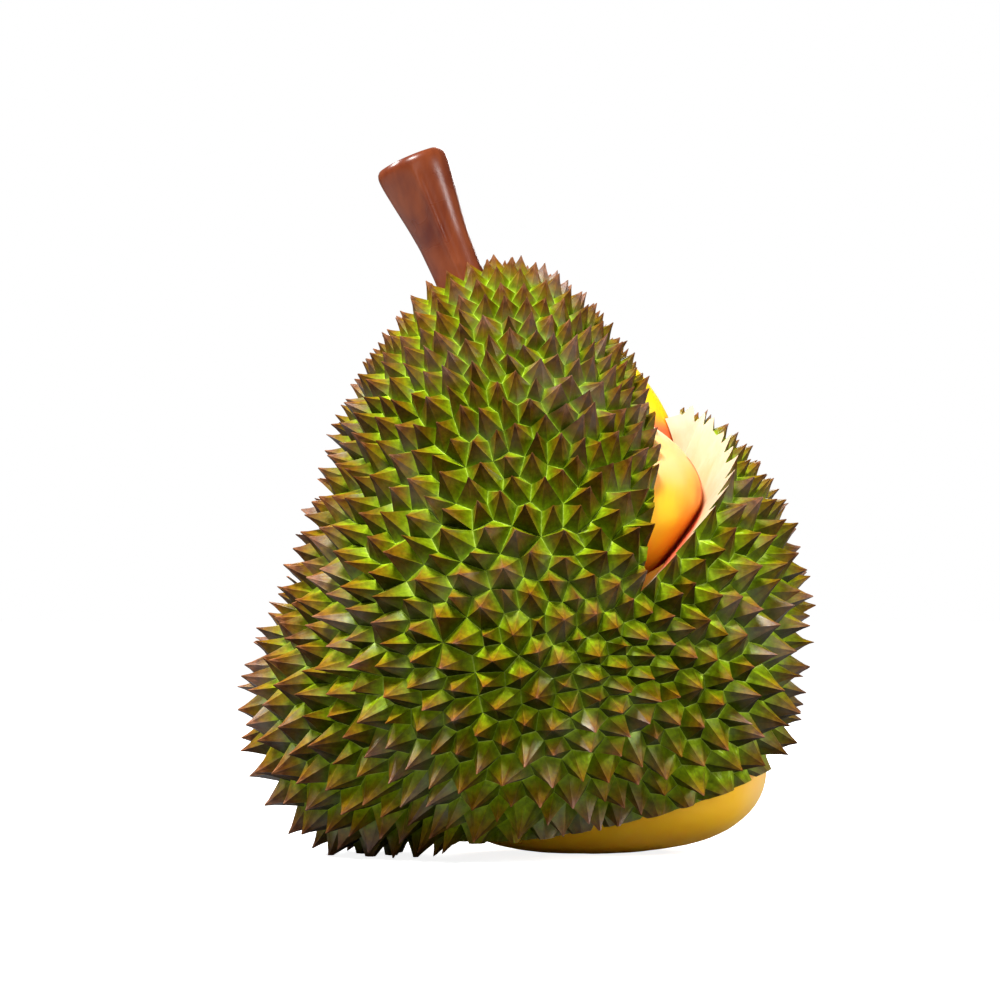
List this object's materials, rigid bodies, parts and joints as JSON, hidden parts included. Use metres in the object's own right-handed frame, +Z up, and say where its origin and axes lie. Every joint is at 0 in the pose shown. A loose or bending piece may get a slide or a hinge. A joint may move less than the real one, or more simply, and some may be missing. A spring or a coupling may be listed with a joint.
{
  "type": "durian",
  "caption": "Opened durian standing upright: spiked green husk with a stem, split along its seams, showing thick pale rind and golden pods of flesh, one resting out under the right side",
  "frame": {"origin": "On the ground, at the middle of the object's box seen from above", "axes": "+Z is up, along the stem; the main opening faces +Y; the back valve faces -Y; the raised side with the pod under it is at +X"},
  "size_m": [0.2619, 0.1916, 0.3185],
  "materials": {
    "rind": "semi-gloss spiked rind, green with brown tips, pale cream where cut",
    "bark": "smooth glossy red-brown stalk",
    "flesh": "smooth soft golden flesh, orange at the edges"
  },
  "bodies": {
    "root": {"husk": "rind", "stem": "bark", "pod_right": "flesh", "pod_back_upper": "flesh", "pod_base": "flesh", "pod_left_upper": "flesh", "pod_left": "flesh", "pod_right_lower": "flesh", "pod_front": "flesh"}
  },
  "joints": []
}
